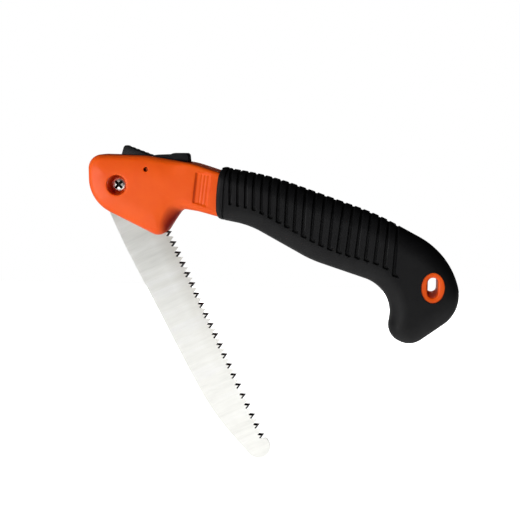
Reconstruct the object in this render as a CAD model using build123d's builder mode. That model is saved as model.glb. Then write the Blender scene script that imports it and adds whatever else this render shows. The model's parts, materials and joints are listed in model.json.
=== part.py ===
from build123d import *
import math
import os

os.makedirs("parts", exist_ok=True)

# A folding pruning saw, half open, standing upright in the XZ plane: +X along the
# handle towards its hook, +Y through its thickness, +Z up. Millimetres.
# The origin is the middle of the grip. Outlines are drawn from the blade pivot.

# --- driving dimensions ---------------------------------------------------
PIVOT_X = -135.0            # blade pivot, from the middle of the grip
PIVOT_Z = 27.0

HEAD_T = 25.0               # thickness of the head and neck
HEAD_ROUND = 4.0            # rounding of the head's edges
GRIP_T = 28.0               # thickness of the soft grip
GRIP_ROUND = 8.5            # rounding of the grip's edges
TONGUE_T = 19.0             # thickness of the hard core inside the grip
SKIN = 4.0                  # soft grip's depth over the core, at its top and bottom
COLLAR_X = 67.7             # where the soft grip begins, from the pivot

BLADE_T = 1.3
SLOT_W = 2.4                # blade slot through head, neck and grip
BLADE_REST = -64.5          # direction of the blade's axis, degrees above +X
BLADE_CLOSED = -15.2
BLADE_OPEN = -180.0
BLADE_REACH = 213.3         # pivot to the tip
TANG_R = 15.5
TOOTH_PITCH = 3.87
TOOTH_DEPTH = 4.4
TOOTH_COUNT = 42
FIRST_TOOTH = 37.9          # distance from the pivot along the blade's axis
TIP_LINE_START = 17.5       # height of the tooth tips above the axis, at the first tooth
TIP_LINE_END = 14.3         # and at the last
NOSE_R = 8.5                # round end of the blade
NOSE_V = 6.5                # its centre above the blade's axis

SLEEVE_R = 4.0              # steel sleeve that the blade turns on
SLEEVE_L = 7.0
RUN_GAP = 0.05              # radial running clearance
SCREW_R = 2.5
RECESS_R = 6.75             # round recess for the screw head, and for the nut
THRUST_T = 0.5
THRUST_R = 11.0
FLAT_WASHER_T = 0.8
FLAT_WASHER_R = 5.2
SCREW_HEAD_R = 5.4
SCREW_HEAD_H = 2.6
NUT_FLATS = 8.0
NUT_H = 5.0

PIN_U, PIN_V = 20.2, 10.6   # lock lever's pin, from the blade pivot
PIN_R = 1.5
PIN_L = 21.3
LOCK_DIR = 61.0             # direction from the pivot to the locking nose
NOSE_W = 4.6
NOTCH_DEPTH = 3.4
RIM_GAP = 0.25              # nose to tang rim
LEVER_W = 9.4
POCKET_W = 9.8
PAWL_T = 2.0
LEVER_BOSS_R = 3.9

SPRING_U = 42.5             # lock spring, from the blade pivot
SPRING_LOW = 8.0
SPRING_HIGH = 17.5
SPRING_R = 2.2              # mean radius of the coil
SPRING_WIRE = 0.6
SPRING_TURNS = 5
SPRING_WELL_R = 2.9

GROOVE_COUNT = 20           # finger grooves across the grip
GROOVE_W = 1.6
GROOVE_DEPTH = 1.2
GROOVE_LEAN = 0.33          # each groove leans this much more than the one before it

LANYARD_U, LANYARD_V = 210.3, -64.8
LANYARD_W, LANYARD_H = 15.4, 20.2        # hard ring round the lanyard hole
HOLE_W, HOLE_H = 6.6, 13.2

# --- planes -----------------------------------------------------------------
# side plane: x to the right, y up, normal towards the viewer of the left side (-Y)
SIDE = Plane(origin=(PIVOT_X, 0, PIVOT_Z), x_dir=(1, 0, 0), z_dir=(0, -1, 0))


def blade_plane(direction):
    """Plane of the blade's own outline, its x axis along the blade."""
    a = math.radians(direction)
    return Plane(origin=(PIVOT_X, 0, PIVOT_Z), x_dir=(math.cos(a), 0, math.sin(a)), z_dir=(0, -1, 0))


def turned(u, v, direction):
    """A point of the blade's own outline, in the side plane, with the blade at that direction."""
    a = math.radians(direction)
    return (u * math.cos(a) - v * math.sin(a), u * math.sin(a) + v * math.cos(a))


def at_depth(depth):
    """The side plane moved towards the viewer by depth."""
    return SIDE.offset(depth)


def save(part, name):
    part.label = name
    export_step(part, "parts/" + name + ".step")


# --- outlines -----------------------------------------------------------------
def head_lines():
    """Head and neck: square-shouldered round front, lobe over the blade's heel, slim neck."""
    top_end = (74.0, 7.4)
    bottom_end = (74.0, -22.4)
    head = [(52.0, 14.4), (20.0, 19.6), (-20.0, 20.5), (-20.0, -11.5)]
    lobe = [(29.1, -35.8), (43.3, -16.0), (55.0, -17.2)]
    FilletPolyline(top_end, *head, *lobe, bottom_end, radius=[60, 60, 10.5, 25, 7.5, 6, 30])
    Line(bottom_end, top_end)


def grip_lines():
    """Soft grip: swelling handle that ends in a hooked butt. Its straight end is cut off later."""
    top_end = (50.0, 15.2)
    bottom_end = (50.0, -19.2)
    upper = [(101.1, 7.1), (173.5, -18.2), (220.1, -43.1)]
    hook = [(232.1, -80.8), (197.6, -106.7), (180.4, -99.1), (186.3, -67.7)]
    lower = [(130.2, -49.5), (88.7, -26.8)]
    radii = [210, 175, 52, 24, 14, 12, 24, 80, 58]
    FilletPolyline(top_end, *upper, *hook, *lower, bottom_end, radius=radii)
    Line(bottom_end, top_end)


def groove_feet():
    """Lower ends of the grip's grooves, evenly spread along a curve above its underside."""
    with BuildLine(mode=Mode.PRIVATE):
        curve = Spline(
            (70, -10.4), (77, -11.4), (93, -14.9), (109, -22.6), (125, -31.6), (142, -39.6), (166, -46.6),
            (178, -51), (186, -57.4),
        )
    feet = []
    for k in range(GROOVE_COUNT):
        share = k / (GROOVE_COUNT - 1)
        target = 77.3 + 107.6 * (share * 0.89 + share**2 * 0.11)
        low, high = 0.0, 1.0
        for _ in range(30):
            mid = (low + high) / 2
            if (curve @ mid).X < target:
                low = mid
            else:
                high = mid
        foot = curve @ low
        feet.append((foot.X, foot.Y))
    return feet


def blade_spine_tangent():
    """Where the spine runs into the round nose, and its direction there."""
    a = math.radians(-68)
    u = BLADE_REACH - NOSE_R + NOSE_R * math.cos(a)
    v = NOSE_V + NOSE_R * math.sin(a)
    return (u, v), (-math.sin(a), math.cos(a))


def tooth_points():
    """Gullets and tips in turn, from the heel to the nose."""
    points = []
    run = TOOTH_COUNT * TOOTH_PITCH
    for i in range(TOOTH_COUNT):
        base = FIRST_TOOTH + i * TOOTH_PITCH
        tip = base + TOOTH_PITCH / 2
        tip_v = TIP_LINE_START + (TIP_LINE_END - TIP_LINE_START) * (tip - FIRST_TOOTH) / run
        points.append((base, tip_v - TOOTH_DEPTH))
        points.append((tip, tip_v))
    points.append((FIRST_TOOTH + run, TIP_LINE_END - TOOTH_DEPTH))
    return points


# --- blade ----------------------------------------------------------------------
nose_u = BLADE_REACH - NOSE_R
nose_meet, nose_dir = blade_spine_tangent()
teeth = tooth_points()
nose_top_a = math.radians(112)
nose_top = (nose_u + NOSE_R * math.cos(nose_top_a), NOSE_V + NOSE_R * math.sin(nose_top_a))
heel_v = 10.8
heel_u = math.sqrt(TANG_R**2 - heel_v**2)

with BuildPart() as blade:
    with BuildSketch(blade_plane(BLADE_REST)) as blade_outline:
        with BuildLine():
            Spline(
                (0, -TANG_R), (38.6, -16.5), (86.0, -15.3), (138.0, -13.9), (163.0, -12.2), (183.0, -8.6),
                nose_meet,
                tangents=[(1, -0.02), nose_dir],
            )
            ThreePointArc(nose_meet, (BLADE_REACH, NOSE_V), nose_top)
            Polyline(nose_top, *reversed(teeth))
            Spline(teeth[0], (33.0, 12.6), (22.0, heel_v), (heel_u, heel_v), tangents=[(-1, -0.1), (-1, 0)])
            ThreePointArc((heel_u, heel_v), (-TANG_R, 0), (0, -TANG_R))
        make_face()
        for stop in (BLADE_OPEN, BLADE_CLOSED):
            notch = LOCK_DIR - stop
            turn = math.radians(notch)
            with Locations((TANG_R * math.cos(turn), TANG_R * math.sin(turn))):
                Rectangle(2 * NOTCH_DEPTH, NOSE_W + 0.6, rotation=notch, mode=Mode.SUBTRACT)
        Circle(SLEEVE_R + RUN_GAP, mode=Mode.SUBTRACT)
    extrude(amount=BLADE_T / 2, both=True)
save(blade.part, "blade")

# --- the space that the blade swings through --------------------------------------
slot_reach = BLADE_REACH + 1.0
roof_in_blade = [(38.0, 18.6), (200.0, 15.8), (206.0, 15.7), (211.5, 12.9), (214.6, 6.0)]
roof_points = [turned(u, v, BLADE_CLOSED) for u, v in roof_in_blade]
disc_r = TANG_R + 1.3

with BuildPart() as swing_space:
    with BuildSketch(SIDE):
        Circle(slot_reach)
        with BuildLine():
            rim = CenterArc((0, 0), disc_r, 90, -50)
            outside = [(260, roof_points[-1][1]), (260, 260), (-260, 260), (-260, disc_r)]
            Polyline(rim @ 1, (24.8, 8.0), *roof_points, *outside, rim @ 0)
        make_face(mode=Mode.SUBTRACT)
    extrude(amount=SLOT_W / 2, both=True)


# --- hard core: head, neck, the tongue inside the grip, and the lanyard ring -------
def pocket_points():
    """Side view of the pocket that the lock lever sits in, its floor curving round the pin."""
    front = [(1.0, 40), (1.0, 16.0), (7.0, 14.5), (12.6, 10.0), (15.9, 8.0), (17.6, 6.7), (20.2, 6.1)]
    rear = [(22.8, 6.7), (25.0, 9.0), (27.5, 11.6), (49.5, 11.6), (49.5, 40)]
    return front + rear


panel = [(53.6, 9.6), (51.0, -11.2), (61.6, -14.4), (64.6, 7.4)]
panel_depth = 0.8
panel_lean = math.degrees(math.atan2(53.6 - 51.0, 9.6 + 11.2))

with BuildPart() as handle_core:
    with BuildSketch(SIDE):
        with BuildLine():
            head_lines()
        make_face()
    extrude(amount=HEAD_T / 2, both=True)
    fillet(handle_core.faces().filter_by(Axis.Y).edges(), HEAD_ROUND)
    with BuildSketch(SIDE):
        with BuildLine():
            grip_lines()
        make_face()
        offset(amount=-SKIN)
    extrude(amount=TONGUE_T / 2, both=True)
    with BuildSketch(SIDE):
        with Locations((LANYARD_U, LANYARD_V)):
            Ellipse(LANYARD_W / 2, LANYARD_H / 2)
    extrude(amount=GRIP_T / 2 - 1.0, both=True)
    add(swing_space.part, mode=Mode.SUBTRACT)
    with BuildSketch(SIDE):
        Polygon(*pocket_points(), align=None)
    extrude(amount=POCKET_W / 2, both=True, mode=Mode.SUBTRACT)
    with BuildSketch(Plane.XY.offset(PIVOT_Z + SPRING_LOW)):
        with Locations((PIVOT_X + SPRING_U, 0)):
            Circle(SPRING_WELL_R)
    extrude(amount=8, mode=Mode.SUBTRACT)
    with BuildSketch(SIDE):
        Circle(SLEEVE_R)
        with Locations((PIN_U, PIN_V)):
            Circle(PIN_R)
        with Locations((LANYARD_U, LANYARD_V)):
            SlotOverall(HOLE_H, HOLE_W, rotation=90)
    extrude(amount=HEAD_T, both=True, mode=Mode.SUBTRACT)
    for side in (1, -1):
        with BuildSketch(at_depth(side * SLEEVE_L / 2)):
            Circle(RECESS_R)
        extrude(amount=side * HEAD_T, mode=Mode.SUBTRACT)
        with BuildSketch(at_depth(side * (HEAD_T / 2 - panel_depth))):
            Polygon(*panel, align=None)
            for k in range(1, 4):
                with Locations((panel[0][0] - 1.3 + 2.75 * k, -2.5)):
                    Rectangle(1.3, 40, rotation=-panel_lean, mode=Mode.SUBTRACT)
        extrude(amount=side * HEAD_T, mode=Mode.SUBTRACT)
save(handle_core.part, "handle_core")

# --- soft grip moulded over the core ------------------------------------------------
# The grooves stop at the floor, a copy of the grip that is one groove's depth smaller all round.
with BuildPart() as groove_floor:
    with BuildSketch(SIDE):
        with BuildLine():
            grip_lines()
        make_face()
        offset(amount=-GROOVE_DEPTH)
    extrude(amount=GRIP_T / 2 - GROOVE_DEPTH, both=True)
    fillet(groove_floor.faces().filter_by(Axis.Y).edges(), GRIP_ROUND - GROOVE_DEPTH)

with BuildPart() as grooves:
    with BuildSketch(SIDE):
        for k, (u, v) in enumerate(groove_feet()):
            lean = math.radians(GROOVE_LEAN * k)
            reach = 60
            with Locations((u + math.sin(lean) * reach / 2, v + math.cos(lean) * reach / 2)):
                Rectangle(GROOVE_W, reach, rotation=-math.degrees(lean))
            with Locations((u + 0.9, v)):
                SlotOverall(3.4, GROOVE_W)
    extrude(amount=GRIP_T, both=True)
    add(groove_floor.part, mode=Mode.SUBTRACT)

with BuildPart() as grip_overmold:
    with BuildSketch(SIDE):
        with BuildLine():
            grip_lines()
        make_face()
    extrude(amount=GRIP_T / 2, both=True)
    fillet(grip_overmold.faces().filter_by(Axis.Y).edges(), GRIP_ROUND)
    with BuildSketch(SIDE):
        with BuildLine():
            collar = ThreePointArc((COLLAR_X + 8, 30), (COLLAR_X, -13), (COLLAR_X + 3.1, -40))
            Polyline(collar @ 1, (0, -40), (0, 30), collar @ 0)
        make_face()
    extrude(amount=GRIP_T, both=True, mode=Mode.SUBTRACT)
    add(swing_space.part, mode=Mode.SUBTRACT)
    with BuildSketch(SIDE):
        with Locations((LANYARD_U, LANYARD_V)):
            Ellipse(LANYARD_W / 2, LANYARD_H / 2)
    extrude(amount=GRIP_T, both=True, mode=Mode.SUBTRACT)
    add(handle_core.part, mode=Mode.SUBTRACT)
    add(grooves.part, mode=Mode.SUBTRACT)
save(grip_overmold.part, "grip_overmold")

# --- pivot: sleeve, thrust washers, screw, flat washers and lock nut ------------------
with BuildPart() as pivot_sleeve:
    with BuildSketch(SIDE):
        Circle(SLEEVE_R)
        Circle(SCREW_R + RUN_GAP, mode=Mode.SUBTRACT)
    extrude(amount=SLEEVE_L / 2, both=True)
save(pivot_sleeve.part, "pivot_sleeve")


def flat_ring(depth, thickness, outer, inner):
    """A washer on the pivot, from that depth outwards."""
    with BuildPart() as ring:
        with BuildSketch(at_depth(depth)):
            Circle(outer)
            Circle(inner, mode=Mode.SUBTRACT)
        extrude(amount=math.copysign(thickness, depth))
    return ring.part


for name, side in (("thrust_washer_left", 1), ("thrust_washer_right", -1)):
    save(flat_ring(side * (SLOT_W / 2 - THRUST_T), THRUST_T, THRUST_R, SLEEVE_R + RUN_GAP), name)
for name, side in (("screw_washer", 1), ("nut_washer", -1)):
    save(flat_ring(side * SLEEVE_L / 2, FLAT_WASHER_T, FLAT_WASHER_R, SCREW_R + 0.15), name)

seat = SLEEVE_L / 2 + FLAT_WASHER_T
screw_end = seat + NUT_H + 0.6
with BuildPart() as pivot_screw:
    with BuildSketch(at_depth(seat)):
        Circle(SCREW_HEAD_R)
    extrude(amount=SCREW_HEAD_H)
    fillet(pivot_screw.faces().sort_by(Axis.Y)[0].edges(), 1.9)
    with BuildSketch(at_depth(seat)):
        Circle(SCREW_R)
    extrude(amount=-(seat + screw_end))
    chamfer(pivot_screw.faces().sort_by(Axis.Y)[-1].edges(), 0.6)
    with BuildSketch(at_depth(seat + SCREW_HEAD_H)):
        for turn in (45, 135):
            Rectangle(6.8, 1.4, rotation=turn)
    extrude(amount=-2.0, taper=6, mode=Mode.SUBTRACT)
save(pivot_screw.part, "pivot_screw")

with BuildPart() as pivot_nut:
    with BuildSketch(at_depth(-seat)):
        RegularPolygon(NUT_FLATS / 2, 6, major_radius=False)
        Circle(SCREW_R, mode=Mode.SUBTRACT)
    extrude(amount=-NUT_H)
    with BuildSketch(at_depth(-seat)):
        Circle(20)
        Circle(NUT_FLATS / 2 * 1.12, mode=Mode.SUBTRACT)
    extrude(amount=-0.5, taper=-45, mode=Mode.SUBTRACT)
save(pivot_nut.part, "pivot_nut")

# --- lock: lever, steel pawl moulded into it, its pin and its spring ------------------
with BuildPart() as lock_pin:
    with BuildSketch(SIDE):
        with Locations((PIN_U, PIN_V)):
            Circle(PIN_R)
    extrude(amount=PIN_L / 2, both=True)
    chamfer(lock_pin.faces().filter_by(Axis.Y).edges(), 0.3)
save(lock_pin.part, "lock_pin")


def along_lock(radius, across):
    """A point at that radius from the blade pivot towards the lock, and that far across."""
    a = math.radians(LOCK_DIR)
    return (radius * math.cos(a) + across * math.sin(a), radius * math.sin(a) - across * math.cos(a))


def pawl_shape():
    """Locking nose, its arm, and the eye round the lever's pin."""
    nose_low = TANG_R + RIM_GAP
    Polygon(
        along_lock(nose_low, -NOSE_W / 2), along_lock(nose_low, NOSE_W / 2), along_lock(18.2, NOSE_W / 2),
        (17.4, 9.0), (21.6, 13.8), (14.0, 18.6), along_lock(20.8, -NOSE_W / 2), align=None,
    )
    with Locations((PIN_U, PIN_V)):
        Circle(3.3)


with BuildPart() as lock_pawl:
    with BuildSketch(SIDE):
        pawl_shape()
        with Locations((PIN_U, PIN_V)):
            Circle(PIN_R + RUN_GAP, mode=Mode.SUBTRACT)
    extrude(amount=PAWL_T / 2, both=True)
save(lock_pawl.part, "lock_pawl")

ramp_start = (4.1, 26.3)
ramp_end = (22.3, 19.3)
ramp_steps = 6


def ramp_points():
    """Stepped thumb ramp on the lever's front."""
    points = []
    du = (ramp_end[0] - ramp_start[0]) / ramp_steps
    dv = (ramp_end[1] - ramp_start[1]) / ramp_steps
    for i in range(ramp_steps):
        u = ramp_start[0] + i * du
        v = ramp_start[1] + i * dv
        points.append((u, v))
        points.append((u + 0.72 * du, v + 0.36 * dv))
    points.append(ramp_end)
    return points


with BuildPart() as lock_lever:
    with BuildSketch(SIDE):
        Polygon(
            (1.7, 18.4), (1.9, 20.6), (2.9, 25.2), *ramp_points(), (24.8, 19.9), (35.2, 20.3),
            (37.2, 21.1), (46.4, 21.1), (47.6, 19.9), (48.0, 15.4), (30.0, 14.6), (24.0, 12.6),
            (15.0, 13.2), (10.2, 18.0),
            align=None,
        )
        with Locations((PIN_U, PIN_V)):
            Circle(LEVER_BOSS_R)
            Circle(PIN_R + RUN_GAP, mode=Mode.SUBTRACT)
    extrude(amount=LEVER_W / 2, both=True)
    with BuildSketch(SIDE):
        pawl_shape()
    extrude(amount=PAWL_T / 2, both=True, mode=Mode.SUBTRACT)
    with BuildSketch(Plane.XY.offset(PIVOT_Z + 10)):
        with Locations((PIVOT_X + SPRING_U, 0)):
            Circle(SPRING_WELL_R)
    extrude(amount=SPRING_HIGH - 10, mode=Mode.SUBTRACT)
save(lock_lever.part, "lock_lever")

with BuildPart() as lock_spring:
    coil_h = SPRING_HIGH - SPRING_LOW - SPRING_WIRE
    foot = Vector(PIVOT_X + SPRING_U, 0, PIVOT_Z + SPRING_LOW + SPRING_WIRE / 2)
    with BuildLine() as coil:
        Helix(pitch=coil_h / SPRING_TURNS, height=coil_h, radius=SPRING_R, center=foot)
    with BuildSketch(Plane(origin=coil.wire() @ 0, z_dir=coil.wire() % 0)):
        Circle(SPRING_WIRE / 2)
    sweep(is_frenet=True)
save(lock_spring.part, "lock_spring")
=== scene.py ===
import json
import math

import bmesh
import bpy
import numpy as np
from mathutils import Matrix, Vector, kdtree
from mathutils.geometry import delaunay_2d_cdt


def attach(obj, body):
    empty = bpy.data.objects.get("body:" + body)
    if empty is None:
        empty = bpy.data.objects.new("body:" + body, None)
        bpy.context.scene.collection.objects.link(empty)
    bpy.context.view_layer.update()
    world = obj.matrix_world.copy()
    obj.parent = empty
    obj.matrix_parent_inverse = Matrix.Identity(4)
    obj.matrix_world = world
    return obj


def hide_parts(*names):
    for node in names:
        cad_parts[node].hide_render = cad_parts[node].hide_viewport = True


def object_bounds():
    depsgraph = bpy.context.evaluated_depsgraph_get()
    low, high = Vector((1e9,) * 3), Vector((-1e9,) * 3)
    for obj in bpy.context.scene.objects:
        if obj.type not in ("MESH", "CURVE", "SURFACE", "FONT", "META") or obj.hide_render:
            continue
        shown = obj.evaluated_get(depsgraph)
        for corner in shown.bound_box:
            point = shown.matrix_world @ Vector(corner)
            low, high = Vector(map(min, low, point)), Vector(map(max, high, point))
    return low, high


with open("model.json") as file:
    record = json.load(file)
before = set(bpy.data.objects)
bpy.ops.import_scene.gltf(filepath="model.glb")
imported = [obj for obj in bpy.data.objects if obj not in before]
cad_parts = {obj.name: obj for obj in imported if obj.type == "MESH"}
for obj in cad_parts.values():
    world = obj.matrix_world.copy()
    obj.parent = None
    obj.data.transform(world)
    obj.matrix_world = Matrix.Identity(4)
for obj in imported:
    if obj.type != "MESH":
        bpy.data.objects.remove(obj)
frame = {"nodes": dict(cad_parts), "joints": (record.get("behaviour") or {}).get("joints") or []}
cad_low, cad_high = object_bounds()
nodes = frame["nodes"]
joints = {j["name"]: j for j in frame["joints"]}

# Outlines are in millimetres from the blade pivot: u to the right, v up, and depth from the
# middle plane of the saw, positive towards the viewer (-Y).
MM = 0.001
PIVOT = Vector(joints["blade_pivot"]["pos_m"])
BLADE_TURN = -64.5          # degrees of the blade's length from +X at rest


def at(u, v, depth=0.0):
    return (PIVOT.x + u * MM, -depth * MM, PIVOT.z + v * MM)


# ------------------------------------------------------------------ outlines
def rounded(corners, radii, step=0.5):
    """Polyline through the corners with a tangent arc at each inner one."""
    pts = [np.array(corners[0], float)]
    for before, here, after, r in zip(corners, corners[1:], corners[2:], radii):
        p = np.array(here, float)
        a = np.array(before, float) - p
        b = np.array(after, float) - p
        a /= np.linalg.norm(a)
        b /= np.linalg.norm(b)
        half = math.acos(float(np.clip(a @ b, -1, 1))) / 2
        mid = a + b
        centre = p + mid / np.linalg.norm(mid) * r / math.sin(half)
        start = p + a * r / math.tan(half) - centre
        sweep = math.pi - 2 * half
        turn = math.copysign(1, a[1] * b[0] - a[0] * b[1])
        n = max(3, math.ceil(r * sweep / step))
        for k in range(n + 1):
            t = turn * sweep * k / n
            c, s = math.cos(t), math.sin(t)
            pts.append(centre + np.array([c * start[0] - s * start[1], s * start[0] + c * start[1]]))
    pts.append(np.array(corners[-1], float))
    return np.array(pts)


def arc_lengths(pts):
    return np.concatenate([[0], np.cumsum(np.linalg.norm(np.diff(pts, axis=0), axis=1))])


def along(pts, s):
    """Points of a polyline at those distances along it."""
    total = arc_lengths(pts)
    return np.stack([np.interp(s, total, pts[:, 0]), np.interp(s, total, pts[:, 1])], axis=-1)


def evenly(pts, step):
    length = arc_lengths(pts)[-1]
    return along(pts, np.linspace(0, length, max(2, round(length / step) + 1)))


def smooth_curve(pts, per=8):
    """Catmull-Rom curve through the points."""
    p = np.array([2 * np.array(pts[0]) - pts[1], *pts, 2 * np.array(pts[-1]) - pts[-2]], float)
    out = []
    for i in range(1, len(p) - 2):
        for t in np.arange(per) / per:
            out.append(0.5 * (2 * p[i] + (p[i + 1] - p[i - 1]) * t
                              + (2 * p[i - 1] - 5 * p[i] + 4 * p[i + 1] - p[i + 2]) * t**2
                              + (3 * p[i] - 3 * p[i + 1] + p[i + 2] - p[i - 1]) * t**3))
    out.append(p[-2])
    return np.array(out)


def inward(pts):
    """Unit normals to the left of a polyline."""
    d = np.gradient(pts, axis=0)
    d /= np.linalg.norm(d, axis=1)[:, None]
    return np.stack([-d[:, 1], d[:, 0]], axis=1)


def ease(x):
    x = np.clip(x, 0, 1)
    return x * x * (3 - 2 * x)


BATCH = 2000                # points measured at once, to keep the arrays small


def distance(points, line):
    """Distance of each point from a polyline."""
    a, b = line[:-1], line[1:]
    ab = b - a
    best = np.full(len(points), 1e9)
    for i in range(0, len(points), BATCH):
        p = points[i:i + BATCH, None, :]
        t = np.clip(((p - a) * ab).sum(2) / (ab**2).sum(1), 0, 1)
        best[i:i + BATCH] = np.linalg.norm(p - (a + t[..., None] * ab), axis=2).min(1)
    return best


def point_in(points, polygon):
    """Which points lie inside a closed outline."""
    inside = np.zeros(len(points), bool)
    for (u0, v0), (u1, v1) in zip(polygon, np.roll(polygon, -1, axis=0)):
        cross = (v0 > points[:, 1]) != (v1 > points[:, 1])
        with np.errstate(divide="ignore", invalid="ignore"):
            inside ^= cross & (points[:, 0] < (u1 - u0) * (points[:, 1] - v0) / (v1 - v0) + u0)
    return inside


def circle(cu, cv, r, n):
    t = np.arange(n) * 2 * math.pi / n
    return np.stack([cu + r * np.cos(t), cv + r * np.sin(t)], axis=1)


def obround(cu, cv, w, h, n):
    """Upright slot shape: two half circles joined by straight sides, n points a half."""
    r = w / 2
    top = [(cu + r * math.cos(t), cv + h / 2 - r + r * math.sin(t)) for t in np.linspace(0, math.pi, n)]
    low = [(cu - r * math.cos(t), cv - h / 2 + r - r * math.sin(t)) for t in np.linspace(0, math.pi, n)]
    return np.array(top + low)


# ------------------------------------------------------------------ meshes
def new_object(name, verts, faces):
    mesh = bpy.data.meshes.new(name)
    mesh.from_pydata([tuple(v) for v in verts], [], [tuple(f) for f in faces])
    mesh.update()
    obj = bpy.data.objects.new(name, mesh)
    bpy.context.scene.collection.objects.link(obj)
    return obj


def tidy(obj, angle=32, merge=1e-7):
    """Weld, point the normals outwards, and shade smooth up to that angle."""
    bm = bmesh.new()
    bm.from_mesh(obj.data)
    bmesh.ops.remove_doubles(bm, verts=bm.verts, dist=merge)
    bmesh.ops.dissolve_degenerate(bm, edges=bm.edges, dist=1e-8)
    bmesh.ops.recalc_face_normals(bm, faces=bm.faces)
    bm.to_mesh(obj.data)
    bm.free()
    obj.data.shade_smooth()
    obj.data.set_sharp_from_angle(angle=math.radians(angle))
    return obj


def apply_modifiers(obj):
    graph = bpy.context.evaluated_depsgraph_get()
    mesh = bpy.data.meshes.new_from_object(obj.evaluated_get(graph))
    old = obj.data
    obj.modifiers.clear()
    obj.data = mesh
    mesh.name = obj.name
    bpy.data.meshes.remove(old)
    return obj


def boolean(obj, others, operation="DIFFERENCE"):
    for other in others:
        mod = obj.modifiers.new("cut", "BOOLEAN")
        mod.operation = operation
        mod.solver = "EXACT"
        mod.object = other
    return apply_modifiers(obj)


def discard(*objs):
    for o in objs:
        bpy.data.objects.remove(o)


def prism(name, outline, low, high):
    """Closed straight prism over an outline, between two depths."""
    n = len(outline)
    verts = [at(u, v, low) for u, v in outline] + [at(u, v, high) for u, v in outline]
    faces = [tuple(range(n))[::-1], tuple(range(n, 2 * n))]
    faces += [(i, (i + 1) % n, n + (i + 1) % n, n + i) for i in range(n)]
    return tidy(new_object(name, verts, faces))


def triangulated(points, loops):
    """Triangles over the points inside closed loops of them."""
    edges = [(loop[i - 1], loop[i]) for loop in loops for i in range(len(loop))]
    out = delaunay_2d_cdt([Vector(p) for p in points], edges, [], 1, 1e-6)
    return np.array([tuple(v) for v in out[0]]), [tuple(f) for f in out[2]]


def relief(name, flat, faces, height):
    """Closed solid with the same relief on its front and its back, joined by its rim."""
    n = len(flat)
    verts = [at(u, v, h) for (u, v), h in zip(flat, height)]
    verts += [at(u, v, -h) for (u, v), h in zip(flat, height)]
    used = {}
    for f in faces:
        for a, b in zip(f, f[1:] + f[:1]):
            used[(a, b)] = used.get((a, b), 0) + 1
    rim = [e for e in used if (e[1], e[0]) not in used]
    faces = list(faces) + [tuple(i + n for i in f[::-1]) for f in faces]
    middle = {}
    for a, b in rim:
        for i in (a, b):
            if i not in middle:
                middle[i] = len(verts)
                verts.append(at(*flat[i], 0))
    for a, b in rim:
        faces.append((b, a, middle[a], middle[b]))
        faces.append((middle[b], middle[a], a + n, b + n))
    return new_object(name, verts, faces)


def turned_profile(name, profile, centre=(0, 0), n=72):
    """Solid of revolution about an axis across the saw, from (radius, depth) points that start on it."""
    verts, faces = [], []
    m = len(profile)
    for k in range(n):
        t = 2 * math.pi * k / n
        verts += [at(centre[0] + r * math.cos(t), centre[1] + r * math.sin(t), d) for r, d in profile]
    for k in range(n):
        for i in range(m - 1):
            a, b = k * m, (k + 1) % n * m
            faces.append((a + i, a + i + 1, b + i + 1, b + i))
    return new_object(name, verts, faces)


# ------------------------------------------------------------------ materials
def srgb(r, g, b):
    linear = [((c / 255 + 0.055) / 1.055) ** 2.4 if c > 10 else c / 255 / 12.92 for c in (r, g, b)]
    return (*linear, 1.0)


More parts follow.
